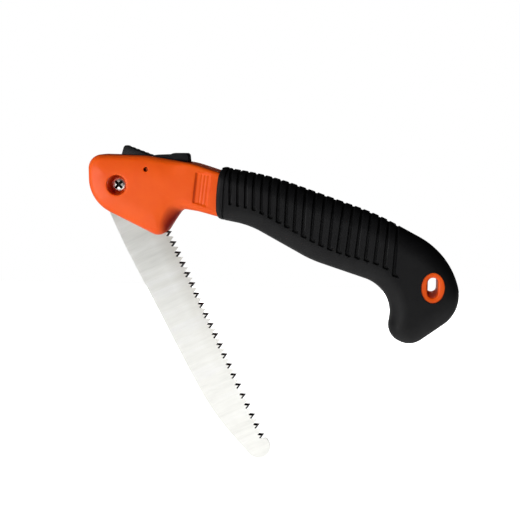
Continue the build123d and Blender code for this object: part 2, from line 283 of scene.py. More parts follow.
class Look:
    """A node material with short calls for the nodes that these finishes share."""

    def __init__(self, name):
        self.mat = bpy.data.materials.new(name)
        self.mat.use_nodes = True
        self.tree = self.mat.node_tree
        self.shader = self.tree.nodes["Principled BSDF"]
        self.place = self.node("ShaderNodeTexCoord").outputs["Object"]

    def node(self, kind, **values):
        n = self.tree.nodes.new(kind)
        for key, value in values.items():
            if key in n.inputs:
                n.inputs[key].default_value = value
            else:
                setattr(n, key, value)
        return n

    def link(self, a, b):
        self.tree.links.new(a, b)

    def mapped(self, turn=0.0, scale=(1, 1, 1)):
        """Object coordinates turned about Y, in degrees, then scaled."""
        first = self.node("ShaderNodeMapping")
        first.inputs["Rotation"].default_value = (0, math.radians(turn), 0)
        self.link(self.place, first.inputs["Vector"])
        second = self.node("ShaderNodeMapping")
        second.inputs["Scale"].default_value = scale
        self.link(first.outputs["Vector"], second.inputs["Vector"])
        return second.outputs["Vector"]

    def measure(self, direction):
        """Distance from the blade pivot in that direction, in the piece's own coordinates."""
        n = self.node("ShaderNodeVectorMath", operation="DOT_PRODUCT")
        n.inputs[1].default_value = direction
        self.link(self.place, n.inputs[0])
        return self.calc(n.outputs["Value"], -PIVOT.dot(Vector(direction)))

    def noise(self, scale, detail=3.0, rough=0.55, vector=None):
        n = self.node("ShaderNodeTexNoise")
        n.inputs["Scale"].default_value = scale
        n.inputs["Detail"].default_value = detail
        n.inputs["Roughness"].default_value = rough
        self.link(vector or self.place, n.inputs["Vector"])
        return n.outputs["Fac"]

    def ramp(self, fac, stops):
        """Colour from (position, colour) stops."""
        n = self.node("ShaderNodeValToRGB")
        while len(n.color_ramp.elements) < len(stops):
            n.color_ramp.elements.new(0.5)
        for e, (pos, colour) in zip(n.color_ramp.elements, stops):
            e.position = pos
            e.color = colour
        self.link(fac, n.inputs["Fac"])
        return n.outputs["Color"]

    def span(self, fac, low, high, from_low=0.3, from_high=0.7):
        """Value held between low and high, over the middle of a noise's range unless told otherwise."""
        n = self.node("ShaderNodeMapRange")
        n.inputs["From Min"].default_value = from_low
        n.inputs["From Max"].default_value = from_high
        n.inputs["To Min"].default_value = low
        n.inputs["To Max"].default_value = high
        self.link(fac, n.inputs["Value"])
        return n.outputs["Result"]

    def mix(self, fac, a, b):
        """From colour a to colour b."""
        n = self.node("ShaderNodeMix", data_type="RGBA")
        for socket, value in ((n.inputs[0], fac), (n.inputs[6], a), (n.inputs[7], b)):
            if isinstance(value, (int, float, tuple)):
                socket.default_value = value
            else:
                self.link(value, socket)
        return n.outputs[2]

    def calc(self, a, b, op="ADD"):
        """Sum of two values, or what another operation makes of them."""
        n = self.node("ShaderNodeMath", operation=op)
        for socket, value in zip(n.inputs, (a, b)):
            if isinstance(value, (int, float)):
                socket.default_value = value
            else:
                self.link(value, socket)
        return n.outputs[0]

    def bump(self, height, strength, millimetres):
        n = self.node("ShaderNodeBump")
        n.inputs["Strength"].default_value = strength
        n.inputs["Distance"].default_value = millimetres * MM
        self.link(height, n.inputs["Height"])
        self.link(n.outputs["Normal"], self.shader.inputs["Normal"])

    def feed(self, name, value):
        if isinstance(value, (int, float, tuple)):
            self.shader.inputs[name].default_value = value
        else:
            self.link(value, self.shader.inputs[name])
        return self


def nylon_look():
    """Orange moulded nylon: satin, with a mottled pigment, rub marks, painted shade in the throat and a fine
    grain.
    """
    k = Look("orange_nylon")
    mottle = k.noise(55, 4)
    base = k.ramp(mottle, [(0.3, srgb(233, 82, 8)), (0.7, srgb(240, 92, 13))])
    rubs = k.noise(420, 2, 0.5, k.mapped(-24, (0.25, 1, 2.2)))
    marks = k.ramp(rubs, [(0.60, (0, 0, 0, 1)), (0.78, (1, 1, 1, 1))])
    base = k.mix(k.calc(marks, 0.06, "MULTIPLY"), base, srgb(246, 132, 84))
    # painted shade: the throat behind the lobe is painted a dark red where it turns away to the right, by its
    # place and by the way its surface faces
    normal = k.node("ShaderNodeSeparateXYZ")
    k.link(k.node("ShaderNodeNewGeometry").outputs["Normal"], normal.inputs[0])
    c, s = math.cos(math.radians(38)), math.sin(math.radians(38))
    side = k.span(k.measure((c, 0, s)), 0.0, 1.0, 1.86 * MM, 8.86 * MM)
    below = k.span(k.measure((s, 0, -c)), 0.0, 1.0, 20 * MM, 30 * MM)
    facing = k.span(normal.outputs["X"], 0.0, 0.9, 0.22, 0.75)
    throat_painted_shade = k.calc(k.calc(side, below, "MULTIPLY"), facing, "MULTIPLY")
    k.feed("Base Color", k.mix(throat_painted_shade, base, srgb(126, 8, 13)))
    k.feed("Roughness", k.span(k.noise(240, 3), 0.36, 0.46))
    # the gloss is lowered where the throat's shade is painted
    k.feed("IOR", 1.5).feed("Specular IOR Level", k.span(throat_painted_shade, 0.30, 0.08, 0.0, 0.8))
    k.feed("Subsurface Weight", 0.14).feed("Subsurface Scale", 0.6)
    k.feed("Subsurface Radius", (0.004, 0.0012, 0.0005))
    k.bump(k.noise(2600, 3), 0.10, 0.06)
    return k.mat


def rubber_look():
    """Black soft grip: matte, finely stippled, a little greyer and smoother where it is handled."""
    k = Look("black_rubber")
    handled = k.noise(38, 3)
    base = k.ramp(handled, [(0.35, srgb(15, 15, 16)), (0.7, srgb(21, 21, 22))])
    dust = k.ramp(k.noise(900, 2, 0.6), [(0.66, (0, 0, 0, 1)), (0.82, (1, 1, 1, 1))])
    k.feed("Base Color", k.mix(k.calc(dust, 0.16, "MULTIPLY"), base, srgb(52, 52, 54)))
    k.feed("Roughness", k.span(k.noise(180, 3), 0.40, 0.56))
    k.feed("Specular IOR Level", 0.16)
    k.bump(k.noise(3400, 2, 0.6), 0.35, 0.10)
    return k.mat


def lever_look():
    """Black moulded lever: harder and slightly glossier than the grip."""
    k = Look("black_plastic")
    base = k.ramp(k.noise(90, 3), [(0.3, srgb(14, 15, 17)), (0.7, srgb(20, 21, 24))])
    k.feed("Base Color", base)
    k.feed("Roughness", k.span(k.noise(300, 3), 0.36, 0.50))
    k.feed("Specular IOR Level", 0.40)
    k.bump(k.noise(3000, 2), 0.20, 0.06)
    return k.mat


def blade_look():
    """Bright blade steel, with grinding lines across its length: fine lines and broad faint bands."""
    k = Look("blade_steel")
    lines = k.noise(1.0, 3, 0.6, k.mapped(BLADE_TURN, (5200, 900, 160)))
    bands = k.noise(1.0, 3, 0.5, k.mapped(BLADE_TURN, (150, 40, 14)))
    tones = [(0.30, srgb(224, 224, 219)), (0.50, srgb(238, 238, 233)), (0.72, srgb(248, 248, 246))]
    base = k.ramp(bands, tones)
    base = k.mix(k.span(lines, 0.0, 0.18), base, srgb(176, 178, 178))
    # painted shade: a duller grey is painted on a band along the teeth, fading out towards the tip
    c, s = math.cos(math.radians(BLADE_TURN)), math.sin(math.radians(BLADE_TURN))
    height = k.span(k.measure((-s, 0, c)), 0.0, 1.0, 2.0 * MM, 13.0 * MM)
    fade = k.span(k.measure((c, 0, s)), 1.0, 0.0, 60.0 * MM, 165.0 * MM)
    teeth_painted_shade = k.calc(height, k.calc(fade, 0.55, "MULTIPLY"), "MULTIPLY")
    k.feed("Base Color", k.mix(teeth_painted_shade, base, srgb(186, 180, 172)))
    k.feed("Metallic", 1.0)
    k.feed("Roughness", k.calc(k.span(bands, 0.26, 0.38), k.span(lines, 0.0, 0.08)))
    k.bump(lines, 0.16, 0.03)
    return k.mat


def dark_flank_look():
    """Filed tooth flanks: dark and finely uneven."""
    k = Look("dark_flank_steel")
    lines = k.noise(1.0, 2, 0.6, k.mapped(BLADE_TURN, (2600, 2600, 2600)))
    k.feed("Base Color", k.ramp(lines, [(0.3, srgb(58, 58, 60)), (0.7, srgb(92, 92, 94))]))
    k.feed("Metallic", 1.0)
    k.feed("Roughness", k.span(lines, 0.26, 0.38))
    return k.mat


def metal_look(name, low, high, rough_low, rough_high, scale=900, relief_mm=0.02):
    """Plated, turned or drawn metal with a fine uneven finish."""
    k = Look(name)
    fine = k.noise(scale, 3)
    k.feed("Base Color", k.ramp(k.noise(scale / 6, 3), [(0.3, srgb(*low)), (0.7, srgb(*high))]))
    k.feed("Metallic", 1.0)
    k.feed("Roughness", k.span(fine, rough_low, rough_high))
    k.bump(fine, 0.15, relief_mm)
    return k.mat


NYLON = nylon_look()
RUBBER = rubber_look()
LEVER_BLACK = lever_look()
BLADE = blade_look()
DARK_FLANK = dark_flank_look()
ZINC = metal_look("zinc_plate", (214, 214, 208), (238, 238, 234), 0.20, 0.32)
# dark metal painted into the screw's cross socket as its shade
SOCKET_SHADE = metal_look("screw_socket_painted_shade", (26, 27, 26), (44, 46, 44), 0.40, 0.52)
DARK_STEEL = metal_look("dark_steel", (50, 48, 48), (72, 70, 68), 0.34, 0.48)
BRONZE = metal_look("washer_bronze", (168, 126, 66), (190, 148, 84), 0.28, 0.40)
WIRE = metal_look("spring_wire", (150, 150, 152), (178, 178, 180), 0.24, 0.34)


def finish_piece(obj, body, material, replaced=()):
    if material is not None:
        obj.data.materials.clear()
        obj.data.materials.append(material)
    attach(obj, body)
    if replaced:
        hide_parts(*replaced)
    return obj


# ------------------------------------------------------------------ spaces inside the handle
# side view of the lever's pocket
POCKET = [(1.0, 40), (1.0, 16.0), (7.0, 14.5), (12.6, 10.0), (15.9, 8.0), (17.6, 6.7), (20.2, 6.1),
          (22.8, 6.7), (25.0, 9.0), (27.5, 11.6), (49.5, 11.6), (49.5, 40)]
POCKET_HALF = 4.9
BORE_HALF = 3.6             # just past the floors of the two recesses
SLOT_HALF = 1.2
SLOT_REACH = 214.3
TANG_ROOM = 16.8            # radius of the slot round the tang
CLOSED = math.radians(-15.2)    # the folded blade's length from +X


def slot_outline():
    """Side view of the space that the blade swings through."""
    roof = [(38.0, 18.6), (200.0, 15.8), (206.0, 15.7), (211.5, 12.9)]
    c, s = math.cos(CLOSED), math.sin(CLOSED)
    pts = [(TANG_ROOM * math.cos(a), TANG_ROOM * math.sin(a)) for a in np.radians(range(90, 39, -2))]
    pts += [(24.8, 8.0)] + [(u * c - v * s, u * s + v * c) for u, v in roof]
    exit_angle = math.atan2(pts[-1][1], pts[-1][0]) - 0.02
    for a in np.linspace(exit_angle, math.radians(-184.5), 150):
        pts.append((SLOT_REACH * math.cos(a), SLOT_REACH * math.sin(a)))
    pts.append((pts[-1][0], TANG_ROOM))
    return pts


# ------------------------------------------------------------------ handle core
HEAD_HALF = 12.5
HEAD_CORNERS = [(71.0, 8.35), (52.0, 14.4), (20.0, 19.6), (-20.6, 20.5), (-20.6, -11.5), (29.1, -35.8),
                (43.3, -16.0), (55.0, -17.2), (69.6, -21.0)]
HEAD_LINE = rounded(HEAD_CORNERS, [60, 60, 9.6, 25, 7.5, 6, 30])
GRIP_CORNERS = [(50.0, 15.2), (101.1, 7.1), (173.5, -18.2), (220.1, -43.1), (232.1, -80.8), (197.6, -106.7),
                (180.4, -99.1), (186.3, -67.7), (130.2, -49.5), (88.7, -26.8), (50.0, -19.2)]
GRIP_RADII = [210, 175, 52, 24, 14, 12, 24, 80, 58]
GRIP_LINE = rounded(GRIP_CORNERS, GRIP_RADII, 0.4)
THROAT = (41.0, -20.5)      # middle of the wide roll between the lobe and the neck
RECESS_R = 6.75
PIN = (20.2, 10.6)
# round holes in the head's faces: centre, radius, rounding of the rim, floor's depth, points round it
HOLES = [((0, 0), RECESS_R, 0.7, 3.5, 96), (PIN, 1.5, 0.35, 9.0, 32)]
PANEL = [(53.6, 9.6), (51.0, -11.2), (61.6, -14.4), (64.6, 7.4)]
PANEL_LINES = (5.0, 7.3, 9.6)   # fine grooves in the thumb panel, by distance from its left edge
LANYARD = (210.3, -64.8)
LANYARD_HOLE = (6.6, 13.2)      # width and height
RING = (7.7, 10.1)              # half width and half height
TONGUE_INSET = 5.0
TONGUE_HALF = 8.2


def panel_sides(points):
    """Distances inside the thumb panel's left, bottom, right and top edges."""
    out = []
    for i in range(4):
        a, b = np.array(PANEL[i]), np.array(PANEL[(i + 1) % 4])
        d = (b - a) / np.linalg.norm(b - a)
        out.append(d[0] * (points[:, 1] - a[1]) - d[1] * (points[:, 0] - a[0]))
    return out


def edge_radii(line):
    """Radius of the head's rounded edge along its outline: widest in the throat, tight on top of the neck."""
    s = arc_lengths(line)
    throat = s[np.argmin(np.linalg.norm(line - THROAT, axis=1))]
    neck = ease((line[:, 0] - 38) / 12) * (line[:, 1] > 0)
    return 3.6 + 6.2 * np.exp(-(((s - throat) / 11.0) ** 2)) - 1.6 * neck


def head_height(points):
    """Half thickness of the head: rounded edges, a wide roll, a slight crown, thumb panel and holes."""
    line = evenly(HEAD_LINE, 0.7)
    radius = edge_radii(line)
    h = np.zeros(len(points))
    for i in range(0, len(points), BATCH):
        some = points[i:i + BATCH]
        d = np.linalg.norm(some[:, None, :] - line, axis=2)
        short = np.clip(radius - d, 0, None)
        fall = 2.3 - 1.9 * ease((some[:, 0] - 34) / 14)
        wide = np.clip(1 - d.min(1) / 15, 0, 1) ** 2 * fall
        h[i:i + BATCH] = (radius - np.sqrt(radius**2 - short**2)).max(1) + wide
    u, v = points[:, 0], points[:, 1]
    h = HEAD_HALF - h - 0.0004 * (v + 5) ** 2
    left, bottom, right, top = panel_sides(points)
    inside = ease(left / 2.5) * ease(bottom / 0.9) * ease(top / 0.9) * ease(right / 0.9)
    sunk = 1.15 - 0.06 * np.clip(left, 0, 12)
    for middle in PANEL_LINES:
        sunk = sunk + 0.20 * np.exp(-(((left - middle) / 0.45) ** 2))
    h = h - sunk * inside
    for (cu, cv), r, edge, floor_half, _ in HOLES:
        d = np.hypot(u - cu, v - cv) - r
        short = np.clip(edge - np.clip(d, 0, None), 0, None)
        h = np.where(d < -0.005, floor_half, h - (edge - np.sqrt(edge**2 - short**2)))
    return h


def head_grid(rim, fixed):
    """Points to fill the head's face: fine and square to the thumb panel inside it, coarser elsewhere."""
    origin = np.array(PANEL[1])
    up = np.array(PANEL[0]) - origin
    up /= np.linalg.norm(up)
    right = np.array([up[1], -up[0]])
    fine = [origin + up * q + right * p
            for q in np.arange(-4.5, 22.5, 0.7) for p in np.arange(-0.6, 13.4, 0.28)]
    coarse = [(u + 0.4 * (j % 2), v)
              for j, v in enumerate(np.arange(-36, 20, 0.8)) for u in np.arange(-20, 71, 0.85)]
    grid = np.array(fine + coarse)
    tree = kdtree.KDTree(len(fixed))
    for i, p in enumerate(fixed):
        tree.insert((*p, 0), i)
    tree.balance()
    from_rim = distance(grid, np.concatenate([rim, rim[:1]]))
    inside = point_in(grid, rim)
    in_panel = np.min(panel_sides(grid), axis=0)
    keep = []
    for i, p in enumerate(grid):
        is_fine = i < len(fine)
        wrong_zone = in_panel[i] < -0.3 if is_fine else in_panel[i] > -0.55
        # a single ring of points is enough inside the recess
        in_recess = math.hypot(*p) < RECESS_R + 0.3 and abs(math.hypot(*p) - 3) > 0.4
        if not inside[i] or from_rim[i] < 0.4 or wrong_zone or in_recess:
            continue
        if tree.find((*p, 0))[2] >= (0.25 if is_fine else 0.5):
            keep.append(p)
    return np.array(keep)


def make_handle_core():
    """Head and neck with the tongue and the lanyard ring joined on. The tongue is returned too."""
    line = evenly(HEAD_LINE, 0.7)
    radius = edge_radii(line)
    start, stop = HEAD_LINE[-1], HEAD_LINE[0]
    end = np.array([start + (stop - start) * f for f in np.linspace(0, 1, 30)[1:-1]])
    rim = np.concatenate([line, end])
    points = [rim]
    loops = [list(range(len(rim)))]
    normal = inward(line)
    for k in range(1, 9):
        ring = line + normal * (radius * (1 - math.cos(math.radians(90 * k / 8))))[:, None]
        points.append(ring[2:-2])
    count = sum(len(p) for p in points)
    for centre, r, edge, _, n in HOLES:
        for out in (edge, edge * 0.5, edge * 0.2, edge * 0.05, 0.0, -0.02):
            ring = circle(*centre, r + out, n)
            if out <= 0:
                loops.append(list(range(count, count + n)))
            points.append(ring)
            count += n
    fixed = np.concatenate(points)
    flat, faces = triangulated(np.concatenate([fixed, head_grid(rim, fixed)]), loops)
    head = tidy(relief("handle_body", flat, faces, head_height(flat)))

    inner = evenly(rounded(GRIP_CORNERS, GRIP_RADII, 1.2), 1.2)
    inner = inner[inner[:, 0] > 62]
    inner = inner - inward(inner) * TONGUE_INSET
    tongue = prism("tongue", inner, -TONGUE_HALF, TONGUE_HALF)
    ring = make_ring()
    boolean(head, [tongue, ring], "UNION")
    discard(ring)
    return head, tongue


def make_ring(n=96):
    """Oval ring round the lanyard hole, lipped on both faces and rounded inside and out."""
    hole = obround(0, 0, *LANYARD_HOLE, 60)
    hole = np.concatenate([hole, hole[:1]])
    angles = np.unwrap(np.arctan2(hole[:, 1], hole[:, 0]))
    verts, faces = [], []
    # share of the way from the hole to the outer edge, and depth
    profile = [(1.0, 12.9), (0.93, 13.3), (0.75, 13.4), (0.3, 13.3), (0.12, 13.0), (0.03, 12.5),
               (0.0, 11.7)]
    profile += [(f, -d) for f, d in profile[::-1]]
    for k in range(n):
        t = 2 * math.pi * k / n
        edge = np.array([RING[0] * math.cos(t), RING[1] * math.sin(t)])
        a = math.atan2(edge[1], edge[0]) % (2 * math.pi)
        inner = np.array([np.interp(a, angles, hole[:, 0]), np.interp(a, angles, hole[:, 1])])
        for f, d in profile:
            p = inner + (edge - inner) * f
            verts.append(at(LANYARD[0] + p[0], LANYARD[1] + p[1], d))
    m = len(profile)
    for k in range(n):
        for i in range(m):
            a, b = k * m, (k + 1) % n * m
            faces.append((a + i, a + (i + 1) % m, b + (i + 1) % m, b + i))
    return tidy(new_object("ring", verts, faces))


# ------------------------------------------------------------------ soft grip
GRIP_HALF = 14.0
COLLAR = 67.7               # front edge of the grip
LAST_LINE = 187.6           # where the lines across the grip give way to the hook
LINE_STEP = 0.34
GROOVES = 20
FIRST_GROOVE = 77.3
GROOVE_SPREAD = 107.6
GROOVE_HALF = 0.85
GROOVE_DEEP = 1.9
FEET = smooth_curve([(60, -9.8), (70, -10.4), (77, -11.4), (93, -14.9), (109, -22.6), (125, -31.6),
                     (142, -39.6), (154, -43.5), (166, -46.6), (178, -51), (186, -57.4), (194, -65)], 24)


def foot_at(u):
    """Point on the curve that the grooves' lower ends follow."""
    return np.array([u, np.interp(u, FEET[:, 0], FEET[:, 1])])


def upward_at(u):
    """Direction of a line across the grip that starts from the feet curve at u."""
    lean = math.radians(np.interp(u, [72, 100, 123, 150, 172, 186], [0.5, 1.5, 3.0, 7.0, 6.0, 3.6]))
    return np.array([math.sin(lean), math.cos(lean)])


def groove_share(points):
    """How far each point is into a groove: 0 outside, 1 on its floor. The later ones end in a short toe."""
    near = np.full(len(points), 9.0)
    for k in range(GROOVES):
        part = k / (GROOVES - 1)
        u = FIRST_GROOVE + GROOVE_SPREAD * (part * 0.89 + part**2 * 0.11)
        foot = foot_at(u)
        toe = foot + np.array([0.9, -0.42]) * np.interp(k, [0, 2, 6, 19], [0.1, 0.4, 1.9, 2.1])
        near = np.minimum(near, distance(points, np.array([foot + upward_at(u) * 60, foot, toe])))
    return ease((GROOVE_HALF + 0.2 - near) / 0.45)


def collar_drop(offset):
    """Depth of the grip's rounded front bead, and of the fine groove behind it, below the plain surface."""
    bead = 1.2 * (1 - math.sqrt(1 - max(0.0, 1 - offset / 3.0) ** 2))
    return bead + 0.9 * float(ease((0.75 - abs(offset - 5.2)) / 0.45))


def crossing(line, origin, direction):
    """Where a polyline first crosses the ray from origin."""
    rel = line - origin
    side = rel[:, 0] * direction[1] - rel[:, 1] * direction[0]
    ahead = rel @ direction > 0
    for i in np.nonzero((side[:-1] * side[1:] <= 0) & ahead[:-1])[0]:
        t = side[i] / (side[i] - side[i + 1] + 1e-12)
        return line[i] + (line[i + 1] - line[i]) * t
    raise ValueError("no crossing")


def spread_ends(low, rows, joined):
    """Distances along the underside where the lines end: close to their feet, but evenly spread."""
    low_s = arc_lengths(low)
    start = low_s[np.argmin(np.abs(low[:, 0] - COLLAR) + np.abs(low[:, 1] + 23))]
    near = np.array([low_s[np.argmin(np.linalg.norm(low - foot, axis=1))] for _, foot, _ in rows])
    near = np.maximum.accumulate(np.maximum(near, start + np.arange(len(near)) * 0.05))
    reach = 22
    kernel = np.hanning(2 * reach + 1)
    before = near[0] - np.arange(reach, 0, -1) * LINE_STEP
    after = near[-1] + np.arange(1, reach + 1) * LINE_STEP
    near = np.convolve(np.concatenate([before, near, after]), kernel / kernel.sum(), "valid")
    share = (np.array([u for u, _, _ in rows[:joined]]) - COLLAR) / (rows[joined][0] - COLLAR)
    near[:joined] = start + (near[joined] - start) * share
    return near


def hook_patch(last, top, end, low):
    """Rows over the hook, blended between the last line, the two edges and the end of the hook."""
    top_s, low_s, end_s = arc_lengths(top), arc_lengths(low), arc_lengths(end)
    from_top = top_s[np.argmin(np.linalg.norm(top - last[0], axis=1))]
    from_low = low_s[np.argmin(np.linalg.norm(low - last[-1], axis=1))]
    upper = along(top, np.linspace(from_top, top_s[-1], 60))
    lower = along(low, np.linspace(from_low, low_s[-1], 60))
    upper[0], lower[0] = last[0], last[-1]
    upper_len, lower_len = arc_lengths(upper)[-1], arc_lengths(lower)[-1]
    share = arc_lengths(last) / arc_lengths(last)[-1]
    end_pts = along(end, share * end_s[-1])
    t = share[:, None]
    closing = 0.66 + 0.34 * np.sin(np.radians(np.linspace(0, 90, 14)))
    rows = []
    for q in np.concatenate([np.linspace(0, 0.66, 24)[1:], closing[1:]]):
        u_p = along(upper, np.array([q * upper_len]))[0]
        l_p = along(lower, np.array([q * lower_len]))[0]
        straight = (1 - t) * u_p + t * l_p + (1 - q) * last + q * end_pts
        corner = ((1 - q) * (1 - t) * last[0] + (1 - q) * t * last[-1]
                  + q * (1 - t) * end_pts[0] + q * t * end_pts[-1])
        rows.append(straight - corner)
    return rows


def grip_stations(line):
    """Lines across the grip from its top edge to its underside, as (points, collar drop)."""
    tip = np.argmin(np.linalg.norm(line - (222.5, -83.5), axis=1))
    heel = np.argmin(np.linalg.norm(line - (182.6, -93.0), axis=1))
    top, end, low = line[:tip + 1], line[tip:heel + 1], line[heel:][::-1]
    # how points spread along a line: shares of the way to the foot, distances round it, shares of the rest
    upper_share = np.array([0, .006, .022, .05, .088, .135, .19, .25, .32, .39, .46, .53, .60, .67, .74,
                            .81, .88, .94, 1.0])
    above = np.arange(2.1, -0.01, -0.3)
    below = np.array([0.3, 0.6, 0.9, 1.2, 1.6])
    lower_share = np.array([.12, .24, .36, .48, .60, .71, .80, .88, .94, .98, 1.0])
    # closer lines over the front bead and the fine groove behind it
    offsets = [0.0, 0.1, 0.3, 0.6, 1.0, 1.5, 2.1, 2.8, 3.5, 4.2, 4.45, 4.6, 4.75, 4.9, 5.05, 5.2, 5.35,
               5.5, 5.65, 5.8, 5.95, 6.2]
    rows = []
    for u in [COLLAR + o for o in offsets] + list(np.arange(COLLAR + 6.5, LAST_LINE, LINE_STEP)):
        foot = foot_at(u)
        rows.append((u, foot, crossing(top, foot, upward_at(u))))
    out = []
    for (u, foot, head), stop in zip(rows, spread_ends(low, rows, len(offsets) + 6)):
        base = along(low, np.array([stop]))[0]
        rise = np.linalg.norm(head - foot)
        fall = np.linalg.norm(base - foot)
        upper = (rise - 2.4) * upper_share / rise
        lower = (1.6 + (fall - 1.6) * lower_share) / fall
        pts = [head + (foot - head) * f for f in [*upper, *(1 - above / rise)]]
        pts += [foot + (base - foot) * f for f in [*(below / fall), *lower]]
        pts = np.array(pts)
        pts[:, 0] += 2.7 * ((pts[:, 1] + 13) / 25) ** 2 * float(1 - ease((u - COLLAR) / 14))
        out.append((pts, collar_drop(u - COLLAR)))
    return out + [(row, 0.0) for row in hook_patch(out[-1][0], top, end, low)]


def make_grip(tongue):
    """Rounded sleeve over the tongue, netted by lines across it and sunk at its grooves and its collar."""
    line = evenly(GRIP_LINE, 0.4)
    stations = grip_stations(line)
    flat = np.array([p for p, _ in stations])
    n, m = flat.shape[:2]
    d = distance(flat.reshape(-1, 2), line).reshape(n, m)
    d[:, 0] = 0
    d[:, -1] = 0
    d[-1, :] = 0
    edge = np.interp(flat[..., 0], [68, 92, 150], [7.0, 11.5, 13.0])
    share = np.clip(1 - d / edge, 0, 1)
    h = GRIP_HALF * (1 - share**2.25) ** (1 / 2.25)
    ring = []
    for i in range(n):
        front = [(flat[i, j, 0], flat[i, j, 1], h[i, j]) for j in range(m)]
        back = [(flat[i, j, 0], flat[i, j, 1], -h[i, j]) for j in range(m - 2, 0, -1)]
        ring.append(front + back)
    ring = np.array(ring)
    # outward normals of the plain surface, to sink the grooves along
    di = np.gradient(ring, axis=0)
    dj = np.roll(ring, -1, axis=1) - np.roll(ring, 1, axis=1)
    normal = np.cross(di, dj)
    normal /= np.linalg.norm(normal, axis=2)[..., None] + 1e-12
    centre = ring.mean(axis=1, keepdims=True)
    flip = np.sign(((ring - centre) * normal).sum(axis=(1, 2)))[:, None, None]
    normal = normal * flip
    normal[-1] = 0
    depth = groove_share(flat.reshape(-1, 2)).reshape(n, m) * (0.4 + 0.6 * ease(d / 5)) * GROOVE_DEEP
    depth = np.concatenate([depth, depth[:, m - 2:0:-1]], axis=1)
    drop = np.array([dr for _, dr in stations])[:, None]
    ring = ring - normal * (depth + drop)[..., None]
    w = ring.shape[1]
    verts = [at(*p) for p in ring.reshape(-1, 3)]
    faces = [(i * w + j, i * w + (j + 1) % w, (i + 1) * w + (j + 1) % w, (i + 1) * w + j)
             for i in range(n - 1) for j in range(w)]
    faces.append(tuple(range(w)))
    grip = tidy(new_object("soft_grip", verts, faces), 40, 2e-6)
    oval = prism("oval", LANYARD + circle(0, 0, 1, 96) * RING, -20, 20)
    slot = prism("slot", slot_outline(), -SLOT_HALF, SLOT_HALF)
    boolean(grip, [oval, tongue, slot])
    discard(oval, slot)
    return tidy(grip, 40)


# ------------------------------------------------------------------ blade
REST = math.radians(BLADE_TURN)
REACH = 213.3
TANG_R = 15.5
PITCH = 3.87
TEETH = 42
FIRST = 37.9
BEVEL = 0.68                # shift of a gullet between the two faces, from the alternate filing
TOOTH_DEEP = 4.7
FIRST_TIP, LAST_TIP = 17.5, 14.3
TOOTH_SET = 0.26
BLADE_HALF = 0.65
BORE_R = 4.05
BORE_SIDES = 48
HEEL = 10.8
NOTCHES = (76.2, 241.0)     # directions of the two lock notches in the tang's rim, in degrees


def tooth_row(side):
    """Gullets and tips of one face, from the nose back to the heel. Filing shifts each gullet sideways."""
    out = []
    for i in range(TEETH, -1, -1):
        base = FIRST + i * PITCH
        tip_v = FIRST_TIP + (LAST_TIP - FIRST_TIP) * (base - FIRST) / (TEETH * PITCH)
        shift = BEVEL * side * (1 if i % 2 else -1)
        out.append((base + shift, tip_v - TOOTH_DEEP))
        if i:
            wide = (i % 2 == 1) == (side == 1)
            rise = TOOTH_DEEP * (1 if wide else (PITCH - 2 * BEVEL) / (PITCH + 2 * BEVEL))
            out.append((base - PITCH / 2, tip_v + (3.2 / TEETH / 2) - TOOTH_DEEP + rise))
    return out


def tang_rim():
    """Round rim of the tang from the heel anticlockwise, with its two lock notches."""
    start = math.degrees(math.asin(HEEL / TANG_R))
    rim = []
    for a in np.arange(start + 3, 269, 3):
        if not any(abs(a - notch) < 11.5 for notch in NOTCHES):
            rim.append((a, (TANG_R * math.cos(math.radians(a)), TANG_R * math.sin(math.radians(a)))))
    for notch in NOTCHES:
        r = math.radians(notch)
        outward, across = np.array([math.cos(r), math.sin(r)]), np.array([-math.sin(r), math.cos(r)])
        for k, (deep, wide) in enumerate(((15.28, -2.6), (12.1, -2.6), (12.1, 2.6), (15.28, 2.6))):
            rim.append((notch - 9.8 + k * 6.5, tuple(outward * deep + across * wide)))
    return [p for _, p in sorted(rim)]


def blade_edges():
    """Outlines of the blade's front and back faces, point for point, and which points are on the teeth."""
    nose_u, nose_v, nose_r = REACH - 8.5, 6.5, 8.5
    nose = [(nose_u + nose_r * math.cos(a), nose_v + nose_r * math.sin(a))
            for a in np.linspace(math.radians(-68), math.radians(112), 40)]
    spine = smooth_curve([(0, -TANG_R), (38.6, -16.5), (86, -15.3), (138, -13.9), (163, -12.2), (183, -8.6),
                          nose[0]], 10)
    shared = [tuple(p) for p in spine[1:]] + nose[1:]
    heel = smooth_curve([(FIRST, 12.8), (31.5, 12.2), (22.0, HEEL),
                         (math.sqrt(TANG_R**2 - HEEL**2), HEEL)], 6)[1:]
    rest = [tuple(p) for p in heel] + tang_rim() + [(0, -TANG_R)]
    flank = [False] * len(shared) + [True] * (2 * TEETH + 1) + [False] * len(rest)
    return [np.array(shared + tooth_row(side) + rest) for side in (1, -1)] + [flank]


